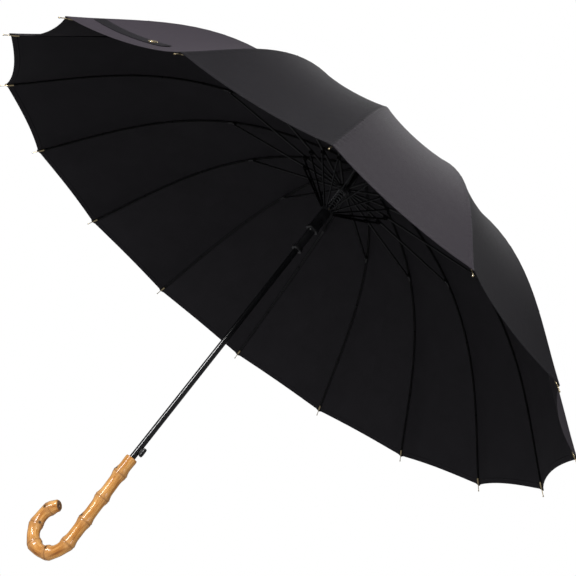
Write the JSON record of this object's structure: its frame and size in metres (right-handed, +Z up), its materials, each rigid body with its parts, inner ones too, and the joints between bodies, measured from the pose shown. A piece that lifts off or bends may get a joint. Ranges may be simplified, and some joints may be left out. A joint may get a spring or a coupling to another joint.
{
  "type": "stick umbrella",
  "caption": "Long automatic stick umbrella with many curved ribs, a black cloth canopy, spring-driven runners and a bamboo crook handle.",
  "frame": {"origin": "on the shaft axis in the middle of the handle's straight grip, where a hand holds it", "axes": "+Z up the shaft to the ferrule, +X toward the hook of the handle"},
  "size_m": [1.0282, 1.0282, 0.8316],
  "materials": {
    "canopy_cloth": "matte fine plain weave, near black",
    "strap_cloth": "matte fine plain weave",
    "rib_lacquer": "semi-gloss black lacquer",
    "shaft_lacquer": "gloss black lacquer",
    "runner_plastic": "moulded black plastic",
    "spring_steel": "bright wire",
    "pale_gold": "pale gold plate",
    "bamboo": "varnished bamboo"
  },
  "bodies": {
    "frame": {"shaft": "shaft_lacquer", "handle": "bamboo", "top_notch": "runner_plastic", "rosette": "canopy_cloth", "ferrule": "shaft_lacquer", "canopy": "canopy_cloth", "strap": "strap_cloth", "strap_snap": "pale_gold"},
    "lower_runner": {"lower_runner": "runner_plastic", "main_spring": "spring_steel"},
    "upper_runner": {"upper_runner": "runner_plastic"},
    "release_button": {"release_button": "runner_plastic"},
    "rib_01": {"rib_inner_01": "rib_lacquer"},
    "rib_end_01": {"rib_outer_01": "rib_lacquer"},
    "stretcher_01": {"stretcher_01": "rib_lacquer"},
    "rib_02": {"rib_inner_02": "rib_lacquer"},
    "rib_end_02": {"rib_outer_02": "rib_lacquer"},
    "stretcher_02": {"stretcher_02": "rib_lacquer"},
    "rib_03": {"rib_inner_03": "rib_lacquer"},
    "rib_end_03": {"rib_outer_03": "rib_lacquer"},
    "stretcher_03": {"stretcher_03": "rib_lacquer"},
    "rib_04": {"rib_inner_04": "rib_lacquer"},
    "rib_end_04": {"rib_outer_04": "rib_lacquer"},
    "stretcher_04": {"stretcher_04": "rib_lacquer"},
    "rib_05": {"rib_inner_05": "rib_lacquer"},
    "rib_end_05": {"rib_outer_05": "rib_lacquer"},
    "stretcher_05": {"stretcher_05": "rib_lacquer"},
    "rib_06": {"rib_inner_06": "rib_lacquer"},
    "rib_end_06": {"rib_outer_06": "rib_lacquer"},
    "stretcher_06": {"stretcher_06": "rib_lacquer"},
    "rib_07": {"rib_inner_07": "rib_lacquer"},
    "rib_end_07": {"rib_outer_07": "rib_lacquer"},
    "stretcher_07": {"stretcher_07": "rib_lacquer"},
    "rib_08": {"rib_inner_08": "rib_lacquer"},
    "rib_end_08": {"rib_outer_08": "rib_lacquer"},
    "stretcher_08": {"stretcher_08": "rib_lacquer"},
    "rib_09": {"rib_inner_09": "rib_lacquer"},
    "rib_end_09": {"rib_outer_09": "rib_lacquer"},
    "stretcher_09": {"stretcher_09": "rib_lacquer"},
    "rib_10": {"rib_inner_10": "rib_lacquer"},
    "rib_end_10": {"rib_outer_10": "rib_lacquer"},
    "stretcher_10": {"stretcher_10": "rib_lacquer"},
    "rib_11": {"rib_inner_11": "rib_lacquer"},
    "rib_end_11": {"rib_outer_11": "rib_lacquer"},
    "stretcher_11": {"stretcher_11": "rib_lacquer"},
    "rib_12": {"rib_inner_12": "rib_lacquer"},
    "rib_end_12": {"rib_outer_12": "rib_lacquer"},
    "stretcher_12": {"stretcher_12": "rib_lacquer"},
    "rib_13": {"rib_inner_13": "rib_lacquer"},
    "rib_end_13": {"rib_outer_13": "rib_lacquer"},
    "stretcher_13": {"stretcher_13": "rib_lacquer"},
    "rib_14": {"rib_inner_14": "rib_lacquer"},
    "rib_end_14": {"rib_outer_14": "rib_lacquer"},
    "stretcher_14": {"stretcher_14": "rib_lacquer"},
    "rib_15": {"rib_inner_15": "rib_lacquer"},
    "rib_end_15": {"rib_outer_15": "rib_lacquer"},
    "stretcher_15": {"stretcher_15": "rib_lacquer"},
    "rib_16": {"rib_inner_16": "rib_lacquer"},
    "rib_end_16": {"rib_outer_16": "rib_lacquer"},
    "stretcher_16": {"stretcher_16": "rib_lacquer"}
  },
  "joints": [
    {"name": "runner_slide", "type": "slide", "parent": "frame", "child": "lower_runner", "axis": [0, 0, 1], "range_m": [-0.3795, 0], "stiffness_N_per_m": 60, "springref_m": 0.3, "deforming": ["main_spring", "canopy"]},
    {"name": "upper_runner_slide", "type": "slide", "parent": "frame", "child": "upper_runner", "axis": [0, 0, 1], "range_m": [-0.4126, 0.0005]},
    {"name": "button_press", "type": "slide", "parent": "frame", "child": "release_button", "axis": [1, 0, 0], "range_m": [0, 0.0025], "stiffness_N_per_m": 500, "springref_m": -0.002},
    {"name": "rib_hinge_01", "type": "hinge", "parent": "frame", "child": "rib_01", "pos_m": [0.00244, 0.01226, 0.636], "axis": [-0.9808, 0.1951, 0], "range_deg": [0, 81.74]},
    {"name": "rib_flex_01", "type": "hinge", "parent": "rib_01", "child": "rib_end_01", "pos_m": [0.04772, 0.23989, 0.60239], "axis": [0.9808, -0.1951, 0], "range_deg": [0, 31.31]},
    {"name": "stretcher_hinge_01", "type": "hinge", "parent": "rib_01", "child": "stretcher_01", "pos_m": [0.04707, 0.23664, 0.59978], "axis": [0.9808, -0.1951, 0], "range_deg": [0, 167.92]},
    {"name": "rib_hinge_02", "type": "hinge", "parent": "frame", "child": "rib_02", "pos_m": [-0.00244, 0.01226, 0.636], "axis": [-0.9808, -0.1951, 0], "range_deg": [0, 81.74]},
    {"name": "rib_flex_02", "type": "hinge", "parent": "rib_02", "child": "rib_end_02", "pos_m": [-0.04772, 0.23989, 0.60239], "axis": [0.9808, 0.1951, 0], "range_deg": [0, 31.31]},
    {"name": "stretcher_hinge_02", "type": "hinge", "parent": "rib_02", "child": "stretcher_02", "pos_m": [-0.04707, 0.23664, 0.59978], "axis": [0.9808, 0.1951, 0], "range_deg": [0, 167.92]},
    {"name": "rib_hinge_03", "type": "hinge", "parent": "frame", "child": "rib_03", "pos_m": [-0.00694, 0.01039, 0.636], "axis": [-0.8315, -0.5556, 0], "range_deg": [0, 81.74]},
    {"name": "rib_flex_03", "type": "hinge", "parent": "rib_03", "child": "rib_end_03", "pos_m": [-0.13589, 0.20337, 0.60239], "axis": [0.8315, 0.5556, 0], "range_deg": [0, 31.31]},
    {"name": "stretcher_hinge_03", "type": "hinge", "parent": "rib_03", "child": "stretcher_03", "pos_m": [-0.13404, 0.20061, 0.59978], "axis": [0.8315, 0.5556, 0], "range_deg": [0, 167.92]},
    {"name": "rib_hinge_04", "type": "hinge", "parent": "frame", "child": "rib_04", "pos_m": [-0.01039, 0.00694, 0.636], "axis": [-0.5556, -0.8315, 0], "range_deg": [0, 81.74]},
    {"name": "rib_flex_04", "type": "hinge", "parent": "rib_04", "child": "rib_end_04", "pos_m": [-0.20337, 0.13589, 0.60239], "axis": [0.5556, 0.8315, 0], "range_deg": [0, 31.31]},
    {"name": "stretcher_hinge_04", "type": "hinge", "parent": "rib_04", "child": "stretcher_04", "pos_m": [-0.20061, 0.13404, 0.59978], "axis": [0.5556, 0.8315, 0], "range_deg": [0, 167.92]},
    {"name": "rib_hinge_05", "type": "hinge", "parent": "frame", "child": "rib_05", "pos_m": [-0.01226, 0.00244, 0.636], "axis": [-0.1951, -0.9808, 0], "range_deg": [0, 81.74]},
    {"name": "rib_flex_05", "type": "hinge", "parent": "rib_05", "child": "rib_end_05", "pos_m": [-0.23989, 0.04772, 0.60239], "axis": [0.1951, 0.9808, 0], "range_deg": [0, 31.31]},
    {"name": "stretcher_hinge_05", "type": "hinge", "parent": "rib_05", "child": "stretcher_05", "pos_m": [-0.23664, 0.04707, 0.59978], "axis": [0.1951, 0.9808, 0], "range_deg": [0, 167.92]},
    {"name": "rib_hinge_06", "type": "hinge", "parent": "frame", "child": "rib_06", "pos_m": [-0.01226, -0.00244, 0.636], "axis": [0.1951, -0.9808, 0], "range_deg": [0, 81.74]},
    {"name": "rib_flex_06", "type": "hinge", "parent": "rib_06", "child": "rib_end_06", "pos_m": [-0.23989, -0.04772, 0.60239], "axis": [-0.1951, 0.9808, 0], "range_deg": [0, 31.31]},
    {"name": "stretcher_hinge_06", "type": "hinge", "parent": "rib_06", "child": "stretcher_06", "pos_m": [-0.23664, -0.04707, 0.59978], "axis": [-0.1951, 0.9808, 0], "range_deg": [0, 167.92]},
    {"name": "rib_hinge_07", "type": "hinge", "parent": "frame", "child": "rib_07", "pos_m": [-0.01039, -0.00694, 0.636], "axis": [0.5556, -0.8315, 0], "range_deg": [0, 81.74]},
    {"name": "rib_flex_07", "type": "hinge", "parent": "rib_07", "child": "rib_end_07", "pos_m": [-0.20337, -0.13589, 0.60239], "axis": [-0.5556, 0.8315, 0], "range_deg": [0, 31.31]},
    {"name": "stretcher_hinge_07", "type": "hinge", "parent": "rib_07", "child": "stretcher_07", "pos_m": [-0.20061, -0.13404, 0.59978], "axis": [-0.5556, 0.8315, 0], "range_deg": [0, 167.92]},
    {"name": "rib_hinge_08", "type": "hinge", "parent": "frame", "child": "rib_08", "pos_m": [-0.00694, -0.01039, 0.636], "axis": [0.8315, -0.5556, 0], "range_deg": [0, 81.74]},
    {"name": "rib_flex_08", "type": "hinge", "parent": "rib_08", "child": "rib_end_08", "pos_m": [-0.13589, -0.20337, 0.60239], "axis": [-0.8315, 0.5556, 0], "range_deg": [0, 31.31]},
    {"name": "stretcher_hinge_08", "type": "hinge", "parent": "rib_08", "child": "stretcher_08", "pos_m": [-0.13404, -0.20061, 0.59978], "axis": [-0.8315, 0.5556, 0], "range_deg": [0, 167.92]},
    {"name": "rib_hinge_09", "type": "hinge", "parent": "frame", "child": "rib_09", "pos_m": [-0.00244, -0.01226, 0.636], "axis": [0.9808, -0.1951, 0], "range_deg": [0, 81.74]},
    {"name": "rib_flex_09", "type": "hinge", "parent": "rib_09", "child": "rib_end_09", "pos_m": [-0.04772, -0.23989, 0.60239], "axis": [-0.9808, 0.1951, 0], "range_deg": [0, 31.31]},
    {"name": "stretcher_hinge_09", "type": "hinge", "parent": "rib_09", "child": "stretcher_09", "pos_m": [-0.04707, -0.23664, 0.59978], "axis": [-0.9808, 0.1951, 0], "range_deg": [0, 167.92]},
    {"name": "rib_hinge_10", "type": "hinge", "parent": "frame", "child": "rib_10", "pos_m": [0.00244, -0.01226, 0.636], "axis": [0.9808, 0.1951, 0], "range_deg": [0, 81.74]},
    {"name": "rib_flex_10", "type": "hinge", "parent": "rib_10", "child": "rib_end_10", "pos_m": [0.04772, -0.23989, 0.60239], "axis": [-0.9808, -0.1951, 0], "range_deg": [0, 31.31]},
    {"name": "stretcher_hinge_10", "type": "hinge", "parent": "rib_10", "child": "stretcher_10", "pos_m": [0.04707, -0.23664, 0.59978], "axis": [-0.9808, -0.1951, 0], "range_deg": [0, 167.92]},
    {"name": "rib_hinge_11", "type": "hinge", "parent": "frame", "child": "rib_11", "pos_m": [0.00694, -0.01039, 0.636], "axis": [0.8315, 0.5556, 0], "range_deg": [0, 81.74]},
    {"name": "rib_flex_11", "type": "hinge", "parent": "rib_11", "child": "rib_end_11", "pos_m": [0.13589, -0.20337, 0.60239], "axis": [-0.8315, -0.5556, 0], "range_deg": [0, 31.31]},
    {"name": "stretcher_hinge_11", "type": "hinge", "parent": "rib_11", "child": "stretcher_11", "pos_m": [0.13404, -0.20061, 0.59978], "axis": [-0.8315, -0.5556, 0], "range_deg": [0, 167.92]},
    {"name": "rib_hinge_12", "type": "hinge", "parent": "frame", "child": "rib_12", "pos_m": [0.01039, -0.00694, 0.636], "axis": [0.5556, 0.8315, 0], "range_deg": [0, 81.74]},
    {"name": "rib_flex_12", "type": "hinge", "parent": "rib_12", "child": "rib_end_12", "pos_m": [0.20337, -0.13589, 0.60239], "axis": [-0.5556, -0.8315, 0], "range_deg": [0, 31.31]},
    {"name": "stretcher_hinge_12", "type": "hinge", "parent": "rib_12", "child": "stretcher_12", "pos_m": [0.20061, -0.13404, 0.59978], "axis": [-0.5556, -0.8315, 0], "range_deg": [0, 167.92]},
    {"name": "rib_hinge_13", "type": "hinge", "parent": "frame", "child": "rib_13", "pos_m": [0.01226, -0.00244, 0.636], "axis": [0.1951, 0.9808, 0], "range_deg": [0, 81.74]},
    {"name": "rib_flex_13", "type": "hinge", "parent": "rib_13", "child": "rib_end_13", "pos_m": [0.23989, -0.04772, 0.60239], "axis": [-0.1951, -0.9808, 0], "range_deg": [0, 31.31]},
    {"name": "stretcher_hinge_13", "type": "hinge", "parent": "rib_13", "child": "stretcher_13", "pos_m": [0.23664, -0.04707, 0.59978], "axis": [-0.1951, -0.9808, 0], "range_deg": [0, 167.92]},
    {"name": "rib_hinge_14", "type": "hinge", "parent": "frame", "child": "rib_14", "pos_m": [0.01226, 0.00244, 0.636], "axis": [-0.1951, 0.9808, 0], "range_deg": [0, 81.74]},
    {"name": "rib_flex_14", "type": "hinge", "parent": "rib_14", "child": "rib_end_14", "pos_m": [0.23989, 0.04772, 0.60239], "axis": [0.1951, -0.9808, 0], "range_deg": [0, 31.31]},
    {"name": "stretcher_hinge_14", "type": "hinge", "parent": "rib_14", "child": "stretcher_14", "pos_m": [0.23664, 0.04707, 0.59978], "axis": [0.1951, -0.9808, 0], "range_deg": [0, 167.92]},
    {"name": "rib_hinge_15", "type": "hinge", "parent": "frame", "child": "rib_15", "pos_m": [0.01039, 0.00694, 0.636], "axis": [-0.5556, 0.8315, 0], "range_deg": [0, 81.74]},
    {"name": "rib_flex_15", "type": "hinge", "parent": "rib_15", "child": "rib_end_15", "pos_m": [0.20337, 0.13589, 0.60239], "axis": [0.5556, -0.8315, 0], "range_deg": [0, 31.31]},
    {"name": "stretcher_hinge_15", "type": "hinge", "parent": "rib_15", "child": "stretcher_15", "pos_m": [0.20061, 0.13404, 0.59978], "axis": [0.5556, -0.8315, 0], "range_deg": [0, 167.92]},
    {"name": "rib_hinge_16", "type": "hinge", "parent": "frame", "child": "rib_16", "pos_m": [0.00694, 0.01039, 0.636], "axis": [-0.8315, 0.5556, 0], "range_deg": [0, 81.74]},
    {"name": "rib_flex_16", "type": "hinge", "parent": "rib_16", "child": "rib_end_16", "pos_m": [0.13589, 0.20337, 0.60239], "axis": [0.8315, -0.5556, 0], "range_deg": [0, 31.31]},
    {"name": "stretcher_hinge_16", "type": "hinge", "parent": "rib_16", "child": "stretcher_16", "pos_m": [0.13404, 0.20061, 0.59978], "axis": [0.8315, -0.5556, 0], "range_deg": [0, 167.92]}
  ],
  "couplings": [
    {"joint": "upper_runner_slide", "follows": "runner_slide", "ratio": 1.0859},
    {"joint": "rib_hinge_01", "follows": "runner_slide", "rad_per_m": -3.7584},
    {"joint": "rib_flex_01", "follows": "runner_slide", "rad_per_m": -1.4392},
    {"joint": "stretcher_hinge_01", "follows": "runner_slide", "rad_per_m": -7.7218},
    {"joint": "rib_hinge_02", "follows": "runner_slide", "rad_per_m": -3.7584},
    {"joint": "rib_flex_02", "follows": "runner_slide", "rad_per_m": -1.4392},
    {"joint": "stretcher_hinge_02", "follows": "runner_slide", "rad_per_m": -7.7218},
    {"joint": "rib_hinge_03", "follows": "runner_slide", "rad_per_m": -3.7584},
    {"joint": "rib_flex_03", "follows": "runner_slide", "rad_per_m": -1.4392},
    {"joint": "stretcher_hinge_03", "follows": "runner_slide", "rad_per_m": -7.7218},
    {"joint": "rib_hinge_04", "follows": "runner_slide", "rad_per_m": -3.7584},
    {"joint": "rib_flex_04", "follows": "runner_slide", "rad_per_m": -1.4392},
    {"joint": "stretcher_hinge_04", "follows": "runner_slide", "rad_per_m": -7.7218},
    {"joint": "rib_hinge_05", "follows": "runner_slide", "rad_per_m": -3.7584},
    {"joint": "rib_flex_05", "follows": "runner_slide", "rad_per_m": -1.4392},
    {"joint": "stretcher_hinge_05", "follows": "runner_slide", "rad_per_m": -7.7218},
    {"joint": "rib_hinge_06", "follows": "runner_slide", "rad_per_m": -3.7584},
    {"joint": "rib_flex_06", "follows": "runner_slide", "rad_per_m": -1.4392},
    {"joint": "stretcher_hinge_06", "follows": "runner_slide", "rad_per_m": -7.7218},
    {"joint": "rib_hinge_07", "follows": "runner_slide", "rad_per_m": -3.7584},
    {"joint": "rib_flex_07", "follows": "runner_slide", "rad_per_m": -1.4392},
    {"joint": "stretcher_hinge_07", "follows": "runner_slide", "rad_per_m": -7.7218},
    {"joint": "rib_hinge_08", "follows": "runner_slide", "rad_per_m": -3.7584},
    {"joint": "rib_flex_08", "follows": "runner_slide", "rad_per_m": -1.4392},
    {"joint": "stretcher_hinge_08", "follows": "runner_slide", "rad_per_m": -7.7218},
    {"joint": "rib_hinge_09", "follows": "runner_slide", "rad_per_m": -3.7584},
    {"joint": "rib_flex_09", "follows": "runner_slide", "rad_per_m": -1.4392},
    {"joint": "stretcher_hinge_09", "follows": "runner_slide", "rad_per_m": -7.7218},
    {"joint": "rib_hinge_10", "follows": "runner_slide", "rad_per_m": -3.7584},
    {"joint": "rib_flex_10", "follows": "runner_slide", "rad_per_m": -1.4392},
    {"joint": "stretcher_hinge_10", "follows": "runner_slide", "rad_per_m": -7.7218},
    {"joint": "rib_hinge_11", "follows": "runner_slide", "rad_per_m": -3.7584},
    {"joint": "rib_flex_11", "follows": "runner_slide", "rad_per_m": -1.4392},
    {"joint": "stretcher_hinge_11", "follows": "runner_slide", "rad_per_m": -7.7218},
    {"joint": "rib_hinge_12", "follows": "runner_slide", "rad_per_m": -3.7584},
    {"joint": "rib_flex_12", "follows": "runner_slide", "rad_per_m": -1.4392},
    {"joint": "stretcher_hinge_12", "follows": "runner_slide", "rad_per_m": -7.7218},
    {"joint": "rib_hinge_13", "follows": "runner_slide", "rad_per_m": -3.7584},
    {"joint": "rib_flex_13", "follows": "runner_slide", "rad_per_m": -1.4392},
    {"joint": "stretcher_hinge_13", "follows": "runner_slide", "rad_per_m": -7.7218},
    {"joint": "rib_hinge_14", "follows": "runner_slide", "rad_per_m": -3.7584},
    {"joint": "rib_flex_14", "follows": "runner_slide", "rad_per_m": -1.4392},
    {"joint": "stretcher_hinge_14", "follows": "runner_slide", "rad_per_m": -7.7218},
    {"joint": "rib_hinge_15", "follows": "runner_slide", "rad_per_m": -3.7584},
    {"joint": "rib_flex_15", "follows": "runner_slide", "rad_per_m": -1.4392},
    {"joint": "stretcher_hinge_15", "follows": "runner_slide", "rad_per_m": -7.7218},
    {"joint": "rib_hinge_16", "follows": "runner_slide", "rad_per_m": -3.7584},
    {"joint": "rib_flex_16", "follows": "runner_slide", "rad_per_m": -1.4392},
    {"joint": "stretcher_hinge_16", "follows": "runner_slide", "rad_per_m": -7.7218}
  ]
}
